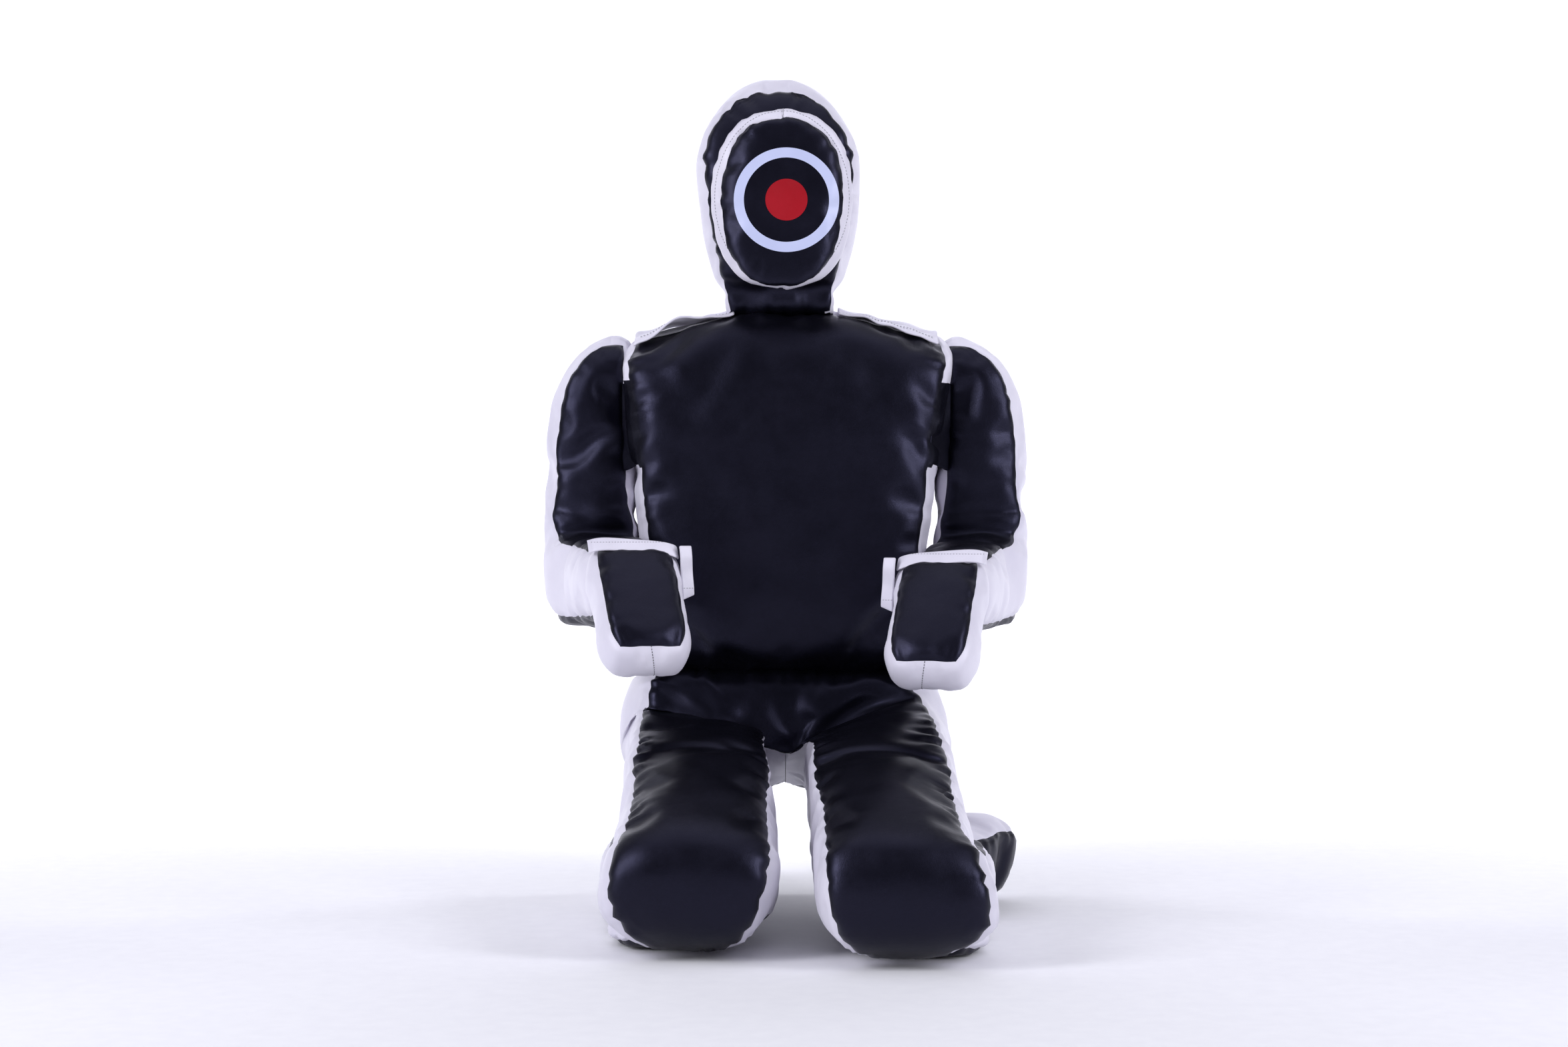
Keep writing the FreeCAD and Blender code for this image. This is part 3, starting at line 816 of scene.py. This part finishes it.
def make_cuff(side):
    """A white strip over the end of the forearm, with a tab hanging on its inner side."""
    sign, word = SIDES[side]
    wrist, across = joint_at("wrist_" + word), -joint_axis("wrist_" + word)
    forward = across.cross(Vector((0, 0, 1)))
    if forward.y > 0:
        forward = -forward
    half, top, inward = 0.0535, 0.0475, -sign

    def band(u, v):
        a = 2 * u - 1
        wrap = max(0.0, abs(a) - 0.9) / 0.1
        edge = top + 0.003 - 0.005 * abs(a) ** 5 - 0.004 * a * inward
        out = 0.0125 * v - 0.0015 + 0.001 * math.sin(math.pi * v) - 0.01 * wrap ** 2
        out += 0.0008 * math.sin(14 * u)
        sideways = across * (half * a * (1 - 0.004 * wrap))
        return wrist + sideways + Vector((0, 0, edge - 0.0145 * v)) + forward * out

    def tab(u, v):
        sway = 0.003 * math.sin(2.5 * v) + 0.0015 * math.sin(9 * v)
        x = inward * (half - 0.001 + 0.015 * u + 0.003 * v)
        z = 0.043 - 0.058 * v - 0.006 * (1 - u) * v
        return wrist + across * x + Vector((0, 0, z)) + forward * (0.013 + sway - 0.004 * u)

    return join([slab(f"cuff_{side}_leather", band, 80, 8, 0.0024), slab("tab", tab, 8, 24, 0.0036)])


def stitches(name, points, outwards, pitch=0.0042, length=0.0026, radius=0.00042):
    """A row of thread stitches along a path of points, each lying along the path."""
    profile = ((-0.5, 0.35), (-0.36, 0.9), (0.0, 1.15), (0.36, 0.9), (0.5, 0.35))
    corners = 6
    maker = bmesh.new()
    travelled, target = 0.0, 0.0
    for n in range(1, len(points)):
        step = points[n] - points[n - 1]
        while target <= travelled + step.length and step.length > 1e-9:
            at = points[n - 1] + step * ((target - travelled) / step.length)
            along = step.normalized()
            up = outwards[n].normalized()
            side = along.cross(up).normalized()
            rings = []
            for share, size in profile:
                ring = []
                for k in range(corners):
                    angle = 2 * math.pi * k / corners
                    out = (up * math.sin(angle) + side * math.cos(angle)) * radius * size
                    ring.append(maker.verts.new(at + along * (share * length) + out))
                rings.append(ring)
            for a, b in zip(rings, rings[1:]):
                for k in range(corners):
                    m = (k + 1) % corners
                    maker.faces.new((a[k], a[m], b[m], b[k]))
            maker.faces.new(rings[0][::-1])
            maker.faces.new(rings[-1])
            target += pitch
        travelled += step.length
    return object_from(maker, name)


def decal(name, target, centre, inside, outside):
    """A printed ring or disc lying on the target's front."""
    rings, around, proud = 3 if inside else 8, 120, 0.0005
    points, faces = [], []
    for k in range(rings + 1):
        r = inside + (outside - inside) * k / rings
        for n in range(around):
            angle = 2 * math.pi * n / around
            at = centre + Vector((r * math.cos(angle), 0, r * math.sin(angle)))
            found = probe(target, at - AHEAD * 0.2, AHEAD)
            points.append(found[0] + found[1] * proud if found else at)
    for k in range(rings):
        for n in range(around):
            m = (n + 1) % around
            faces.append((k * around + n, (k + 1) * around + n, (k + 1) * around + m, k * around + m))
    obj = cleaned_object(name, points, faces, near=1e-6)
    smooth(obj.data)
    return obj


# ---- materials

def material(name, **sockets):
    """A principled material with constants set on the shader's own sockets."""
    mat = bpy.data.materials.new(name)
    mat.use_nodes = True
    tree = mat.node_tree
    shader = tree.nodes["Principled BSDF"]
    for key, value in sockets.items():
        shader.inputs[key.replace("_", " ")].default_value = value
    coords = tree.nodes.new("ShaderNodeTexCoord").outputs["Object"]
    return mat, tree, shader, coords


def add_node(tree, kind, numbers, links):
    """A shader node with numbers set on its inputs, and other nodes' outputs linked to them."""
    node = tree.nodes.new("ShaderNode" + kind)
    for key, value in numbers.items():
        node.inputs[key].default_value = value
    for key, output in links.items():
        tree.links.new(output, node.inputs[key])
    return node


def noise_node(tree, coords, scale, detail=3.0, roughness=0.55):
    numbers = {"Scale": scale, "Detail": detail, "Roughness": roughness}
    return add_node(tree, "TexNoise", numbers, {"Vector": coords}).outputs["Fac"]


def ramp(tree, value, stops):
    node = add_node(tree, "ValToRGB", {}, {"Fac": value})
    while len(node.color_ramp.elements) < len(stops):
        node.color_ramp.elements.new(0.5)
    for element, (at, colour) in zip(node.color_ramp.elements, stops):
        element.position = at
        element.color = (*colour, 1.0)
    return node.outputs["Color"]


def spread(tree, value, low, high, out_low, out_high):
    numbers = {"From Min": low, "From Max": high, "To Min": out_low, "To Max": out_high}
    return add_node(tree, "MapRange", numbers, {"Value": value}).outputs["Result"]


def bump(tree, height, strength, distance, **under):
    """Raises the surface by a texture, on top of another bump if one is given as Normal."""
    numbers = {"Strength": strength, "Distance": distance}
    return add_node(tree, "Bump", numbers, {"Height": height, **under}).outputs["Normal"]


def leather(name, colours, rough, tint, grain, level):
    """Synthetic leather: pebbled grain, fine wrinkles, uneven gloss and a little handling wear."""
    mat, tree, shader, coords = material(name, Specular_IOR_Level=level, Specular_Tint=(*tint, 1.0),
                                         Coat_Weight=0.04, Coat_Roughness=0.3, IOR=1.5)
    tone = noise_node(tree, coords, 9.0, 4.0)
    shades = ramp(tree, tone, ((0.3, colours[0]), (0.55, colours[1]), (0.75, colours[2])))
    tree.links.new(shades, shader.inputs["Base Color"])
    gloss = noise_node(tree, coords, 26.0, 5.0, 0.65)
    tree.links.new(spread(tree, gloss, 0.3, 0.7, *rough), shader.inputs["Roughness"])
    cells = add_node(tree, "TexVoronoi", {"Scale": 760.0}, {"Vector": coords})
    cells.feature = "DISTANCE_TO_EDGE"
    pebble = spread(tree, cells.outputs["Distance"], 0.0, 0.22, 0.0, 1.0)
    wrinkle = noise_node(tree, coords, 120.0, 4.0, 0.6)
    fine = bump(tree, pebble, grain, 0.0002)
    tree.links.new(bump(tree, wrinkle, 0.35, 0.0006, Normal=fine), shader.inputs["Normal"])
    return mat


def fibres(name, stops, scale, detail, uneven, strength, height, **sockets):
    """Twisted or felted fibres: two shades mixed by a fine noise that also raises the surface."""
    mat, tree, shader, coords = material(name, **sockets)
    fuzz = noise_node(tree, coords, scale, detail, uneven)
    tree.links.new(ramp(tree, fuzz, stops), shader.inputs["Base Color"])
    tree.links.new(bump(tree, fuzz, strength, height), shader.inputs["Normal"])
    return mat


def thread(name, colour):
    darker = tuple(c * 0.6 for c in colour)
    return fibres(name, ((0.35, darker), (0.65, colour)), 900.0, 2.0, 0.55, 0.5, 0.0002,
                  Roughness=0.7, Sheen_Weight=0.3)


# what each slot looks like: three shades, the range of roughness, the shine's tint, grain and shine
LEATHERS = {"black_leather": (((0.0012, 0.0012, 0.0022), (0.002, 0.0019, 0.0036), (0.0038, 0.0036, 0.0064)),
                              (0.31, 0.44), (0.56, 0.56, 1.0), 0.22, 0.33),
            "white_leather": (((0.62, 0.6, 0.69), (0.69, 0.67, 0.75), (0.74, 0.72, 0.8)),
                              (0.38, 0.52), (0.95, 0.95, 1.0), 0.16, 0.5),
            "print_ring": (((0.44, 0.48, 0.68), (0.5, 0.54, 0.75), (0.55, 0.59, 0.79)),
                           (0.34, 0.46), (0.9, 0.9, 1.0), 0.12, 0.5),
            "print_red": (((0.26, 0.003, 0.008), (0.31, 0.004, 0.01), (0.35, 0.006, 0.014)),
                          (0.34, 0.46), (0.95, 0.9, 1.0), 0.12, 0.3)}
SLOTS = {name: leather(name, *look) for name, look in LEATHERS.items()}
THREAD_GREY = thread("thread_grey", (0.3, 0.3, 0.33))
THREAD_DARK = thread("thread_dark", (0.035, 0.035, 0.045))
SLOTS["loop_tape"] = fibres("loop_tape", ((0.3, (0.3, 0.3, 0.33)), (0.7, (0.66, 0.66, 0.7))),
                            1400.0, 4.0, 0.8, 0.9, 0.0006, Roughness=0.95, Sheen_Weight=0.5)


# ---- assembly

def bind(piece, body):
    """Makes a piece move with a body given by name. A pair given as (body, body, start, end) is not used: the
    piece's place is only baked into its mesh.
    """
    if isinstance(body, str):
        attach(piece, body)
    else:
        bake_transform(piece)


def place(piece, slot, body, nodes):
    """Gives a piece its material and slot, hides the CAD nodes it stands for, and binds it to what it moves
    with.
    """
    piece.data.materials.clear()
    piece.data.materials.append(SLOTS[slot])
    bind(piece, body)
    if nodes:
        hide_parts(*nodes)


def segment_nodes(label, side):
    """The CAD nodes of one stuffed segment."""
    return [f"{label}_{part}_{side}" for part in ("filling", "gusset", "panels")]


def panels(pillow, body, nodes, label=None, words=("front", "back", "side"), keep=None):
    """Splits a finished pillow into its two leather panels and its gusset and puts each in place."""
    names = [f"{label or pillow}_{word}_leather" for word in words]
    made = split(pillows[pillow], names, keep)
    for name, slot in zip(names, ("black_leather", "black_leather", "white_leather")):
        place(made[name], slot, body, nodes if name == names[0] else [])
    shapes.update(made)


def blacken(obj, test):
    """Gives gusset faces that pass a test on their centre to the nearer black panel."""
    for polygon in obj.data.polygons:
        if polygon.material_index == GUSSET and test(polygon.center - MIDDLE):
            polygon.material_index = FRONT if polygon.center.y < MIDDLE.y else BACK


def on_pieces(found_on, origins, direction):
    """Where rays from a list of origins first meet any of the pieces: points and outward normals."""
    points, outwards = [], []
    for origin in origins:
        start = origin + MIDDLE
        hits = [found for found in (probe(piece, start, direction) for piece in found_on) if found]
        if hits:
            point, normal = min(hits, key=lambda found: (found[0] - start).length)
            points.append(point)
            outwards.append(-direction if normal.dot(direction) > 0 else normal)
    return points, outwards


def sewn_line(name, found_on, origins, direction, body, mat, **row):
    """A row of stitches, laid where rays meet the pieces, that moves with a body."""
    points, outwards = on_pieces(found_on, origins, Vector(direction).normalized())
    if len(points) > 3:
        obj = stitches(name, points, outwards, **row)
        obj.data.materials.append(mat)
        bind(obj, body)


pillows = {"torso": make_torso(), "head": make_head(), "face_pad": make_face_pad(), "legs": make_legs()}
for side in SIDES:
    pillows["arm_" + side] = make_arm(side)
    pillows["hand_" + side] = make_hand(side)
    pillows["shin_" + side] = make_shin(side)
    pillows["foot_" + side] = make_foot(side)

for obj in pillows.values():
    dress(obj)
simulate(list(pillows.values()))

for number, (name, obj) in enumerate(sorted(pillows.items())):
    kind = name.split("_")[0]
    small = kind in ("hand", "foot", "face")
    subdivide(obj)
    ripple(obj, number + 3, height=0.0012 if small else 0.0024, size=0.05 if small else 0.09)
    gather(obj, 40 + number, GATHERS.get(kind, 0.0018), 0.022 if small else 0.028, 0.01 if small else 0.016)
    if kind in ("legs", "shin", "foot"):
        rest_on_floor(obj)

# soft folds in the torso's front and back, at the elbows, over the hips and at the neck
for start, end, depth, width in (
        ((0.06, -0.115, 0.735), (0.125, -0.12, 0.66), 0.0034, 0.018),
        ((-0.06, -0.115, 0.735), (-0.115, -0.12, 0.64), 0.0036, 0.018),
        ((-0.165, -0.115, 0.69), (-0.12, -0.12, 0.61), 0.003, 0.016),
        ((-0.03, -0.11, 0.722), (0.035, -0.112, 0.722), 0.0028, 0.014),
        ((-0.155, -0.115, 0.4), (-0.095, -0.12, 0.35), 0.0035, 0.012),
        ((0.15, -0.115, 0.395), (0.085, -0.12, 0.345), 0.0038, 0.012),
        ((-0.06, 0.115, 0.735), (-0.12, 0.12, 0.64), 0.0045, 0.013),
        ((0.07, 0.115, 0.73), (0.12, 0.12, 0.65), 0.004, 0.012),
        ((0.0, 0.12, 0.4), (0.08, 0.12, 0.345), 0.0035, 0.014)):
    crease(pillows["torso"], start, end, depth, width)
for side, (sign, word) in SIDES.items():
    elbow = joint_at("elbow_" + word)
    for name, corner, here, there, depth, width in (
            ("arm_" + side, elbow, (-0.05, -0.052, 0.052), (0.052, -0.052, 0.052), 0.007, 0.012),
            ("arm_" + side, elbow, (-0.045, -0.05, 0.078), (0.045, -0.05, 0.072), -0.004, 0.016),
            ("legs", Vector(), (0.15, -0.1, 0.285), (0.045, -0.105, 0.232), 0.0042, 0.014),
            ("legs", Vector(), (0.15, -0.12, 0.268), (0.06, -0.125, 0.212), 0.0025, 0.012),
            ("legs", Vector(), (0.13, 0.15, 0.255), (0.03, 0.15, 0.225), 0.005, 0.016)):
        start, end = (corner + Vector((sign * x, y, z)) for x, y, z in (here, there))
        crease(pillows[name], start, end, depth, width)
crease(pillows["head"], (-0.055, -0.06, 0.78), (0.055, -0.06, 0.782), 0.0035, 0.01)
crease(pillows["head"], (-0.055, 0.062, 0.782), (0.055, 0.062, 0.78), 0.004, 0.011)

# where the gusset is black: at the waist, across the neck, and in the gap under each arm
blacken(pillows["torso"], lambda p: p.z < 0.318 or (p.z > 0.735 and abs(p.x + 0.006) < 0.062))
blacken(pillows["torso"], lambda p: p.y < -0.01 and 0.558 < p.z < 0.664)
blacken(pillows["head"], lambda p: p.z < 0.753 or (p.z < 0.766 and abs(p.x + 0.01) < 0.06))
for side, (sign, _) in SIDES.items():
    blacken(pillows["arm_" + side],
            lambda p, sign=sign: p.y < 0.01 and 0.558 < p.z < 0.664 and sign * p.x < 0.235)
blacken(pillows["legs"], lambda p: p.z > 0.29 and abs(p.x) < 0.15)

shapes = {}
panels("torso", ("pelvis", "torso", (0, 0, 0.3), (0, 0, 0.38)),
       ["torso_filling", "torso_gusset", "torso_front_panel", "torso_back_panel"])
panels("head", ("torso", "head", (0, 0, 0.75), (0, 0, 0.795)),
       ["head_filling", "head_gusset", "head_front_panel", "head_back_panel", "neck_filling"])
panels("face_pad", "head", ["face_pad_filling", "face_pad_gusset", "face_pad_panel"],
       label="face", words=("front", "base", "rim"))
for side, (sign, word) in SIDES.items():
    elbow = joint_at("elbow_" + word)
    fold = ("upper_arm_" + word, "forearm_" + word,
            elbow + Vector((0, 0.03, 0.03)), elbow - Vector((0, 0.035, 0.035)))
    panels("arm_" + side, fold, segment_nodes("forearm", side) + segment_nodes("upper_arm", side))
    panels("hand_" + side, "hand_" + word, segment_nodes("hand", side))
    hip_nodes = segment_nodes("thigh", side)
    if side == "l":
        hip_nodes += ["pelvis_filling", "pelvis_gusset", "pelvis_panels"]
    panels("legs", ("pelvis", "thigh_" + word, (0, -0.1, 0), (0, -0.2, 0)), hip_nodes,
           label="leg_" + side, keep=lambda p, sign=sign: (p.x - MIDDLE.x) * sign > 0)
    for label in ("shin", "foot"):
        panels(f"{label}_{side}", f"{label}_{word}", segment_nodes(label, side))

# flaps, loop tapes, arm roots and cuffs
place(make_tapes(pillows["torso"]), "loop_tape", "torso", ["shoulder_loop_tapes"])
for side, (sign, word) in SIDES.items():
    shapes["flap_" + side] = make_flap(side, pillows["torso"])
    place(shapes["flap_" + side], "white_leather", "flap_" + word, ["shoulder_flap_" + side])
    place(make_arm_root(side), "white_leather", "arm_root_" + word, ["arm_root_strap_" + side])
    stretch = ("torso", "arm_root_" + word, (sign * 0.182, 0, 0), (sign * 0.203, 0, 0))
    place(make_web(side), "black_leather", stretch, [])
    shapes["cuff_" + side] = make_cuff(side)
    place(shapes["cuff_" + side], "white_leather", "forearm_" + word, ["wrist_cuff_" + side])

# printed target
face = shapes["face_front_leather"]
target = Vector((0.0, 0.0, TARGET_HEIGHT)) + MIDDLE
place(decal("printed_ring", face, target, 0.0525, 0.065), "print_ring", "head", ["target_ring"])
place(decal("printed_disc", face, target, 0.0, 0.026), "print_red", "head", ["target_disc"])

# thread: seams and top stitching, found on the finished pieces by rays
rim = [shapes["face_rim_leather"]]
ring_line = [Vector((-0.0055 + 0.0835 * math.cos(a), -0.3, 0.891 + 0.1085 * math.sin(a)))
             for a in np.linspace(0, 2 * math.pi, 240)]
sewn_line("face_rim_stitches", rim, ring_line, AHEAD, "head", THREAD_GREY)
sewn_line("face_rim_join", rim, [Vector((-0.004, -0.3, z)) for z in np.linspace(0.984, 1.008, 20)],
          AHEAD, "head", THREAD_GREY, pitch=0.0022, length=0.0022)
for side, (_, word) in SIDES.items():
    wrist = joint_at("wrist_" + word)
    low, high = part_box("hand_filling_" + side)
    reach = ((low + high) / 2 - MIDDLE - wrist).normalized()
    end = wrist + reach * 0.2
    fan = [end + Vector((0, -t * reach.z, t * reach.y)) for t in np.linspace(-0.031, 0.031, 50)]
    sewn_line(f"hand_{side}_tip_seam", [shapes[f"hand_{side}_side_leather"]], fan, -reach, "hand_" + word,
              THREAD_DARK, pitch=0.0034, length=0.0024)
sewn_line("crotch_seam", [shapes["leg_l_side_leather"], shapes["leg_r_side_leather"]],
          [Vector((-0.0012, -0.4, z)) for z in np.linspace(0.13, 0.19, 60)],
          (0, 1, 0.03), "pelvis", THREAD_DARK, pitch=0.0036, length=0.0024)
for side, (sign, word) in SIDES.items():
    for row, y in enumerate((-0.046, -0.042)):
        starts = [Vector((sign * x, y, 1.2)) for x in np.linspace(0.072, 0.186, 90)]
        sewn_line(f"flap_{side}_stitches_{row}", [shapes["flap_" + side]], starts, DOWN, "flap_" + word,
                  THREAD_GREY)
    wrist, across = joint_at("wrist_" + word), -joint_axis("wrist_" + word)
    for row, (low_x, high_x, z) in enumerate(((0.0545, 0.074, -0.007), (-0.05, 0.05, 0.0475))):
        starts = [wrist - across * (sign * x) + Vector((0, -0.3, z)) for x in np.linspace(low_x, high_x, 60)]
        sewn_line(f"cuff_{side}_stitches_{row}", [shapes["cuff_" + side]], starts, AHEAD, "forearm_" + word,
                  THREAD_GREY, pitch=0.0036, length=0.0022, radius=0.00035)

for obj in pillows.values():
    bpy.data.objects.remove(obj)


# ---- stage, lights, camera

def make_backdrop():
    """A pale floor that curves up into a wall far behind."""
    bend_start, radius, half_width = 1.5, 4.0, 9
    outline = [(-7.0, 0.0), (-3.0, 0.0), (0.0, 0.0), (bend_start, 0.0)]
    outline += [(bend_start + radius * math.sin(a), radius - radius * math.cos(a))
                for a in np.linspace(0.08, math.pi / 2, 24)]
    outline.append((bend_start + radius, 9.0))
    obj = sheet("backdrop", [[(x, y, z - 0.0005) for y, z in outline]
                             for x in np.linspace(-half_width, half_width, 7)])
    mat, tree, shader, coords = material("paper", Roughness=0.9)
    fibre = noise_node(tree, coords, 40.0, 4.0)
    tree.links.new(ramp(tree, fibre, ((0.3, (0.89, 0.89, 0.91)), (0.7, (0.92, 0.92, 0.935)))),
                   shader.inputs["Base Color"])
    obj.data.materials.append(mat)


def area_light(name, where, towards, size, power, colour):
    data = bpy.data.lights.new(name, "AREA")
    data.shape = "RECTANGLE"
    data.size, data.size_y = size
    data.energy = power
    data.color = colour
    obj = new_object(name, data)
    obj.location = Vector(where) + MIDDLE
    obj.rotation_euler = (Vector(towards) - Vector(where)).to_track_quat("-Z", "Y").to_euler()


make_backdrop()
area_light("left_window", (-2.6, -2.2, 1.7), (0, 0, 0.55), (1.1, 2.4), 88, (0.92, 0.92, 1.0))
area_light("right_window", (2.7, -2.0, 1.6), (0, 0, 0.55), (1.0, 2.4), 75, (0.92, 0.92, 1.0))
area_light("overhead", (0.0, -0.4, 3.4), (0, 0, 0.4), (3.0, 2.6), 24, (0.86, 0.86, 1.0))
area_light("behind", (0.0, 2.8, 2.6), (0, 0, 0.5), (2.4, 1.6), 14, (0.86, 0.86, 1.0))
for word, x in (("wall_left", -2.4), ("wall_right", 2.4)):
    area_light(word, (x, 1.2, 2.6), (0.4 * x, 5.0, 1.2), (1.2, 1.8), 112, (0.94, 0.94, 1.0))

world = bpy.data.worlds.new("studio")
bpy.context.scene.world = world
world.use_nodes = True
world.node_tree.nodes["Background"].inputs["Color"].default_value = (0.93, 0.93, 1.0, 1.0)
world.node_tree.nodes["Background"].inputs["Strength"].default_value = 0.16
bpy.context.scene.view_settings.view_transform = "Standard"

camera = bpy.data.cameras.new("camera")
camera.sensor_width = 36.0
camera.lens = 60.0
viewer = new_object("camera", camera)
viewer.location = MIDDLE + Vector((-0.003, -3.35, 0.4865))
viewer.rotation_euler = (math.radians(90), 0, 0)
bpy.context.scene.camera = viewer
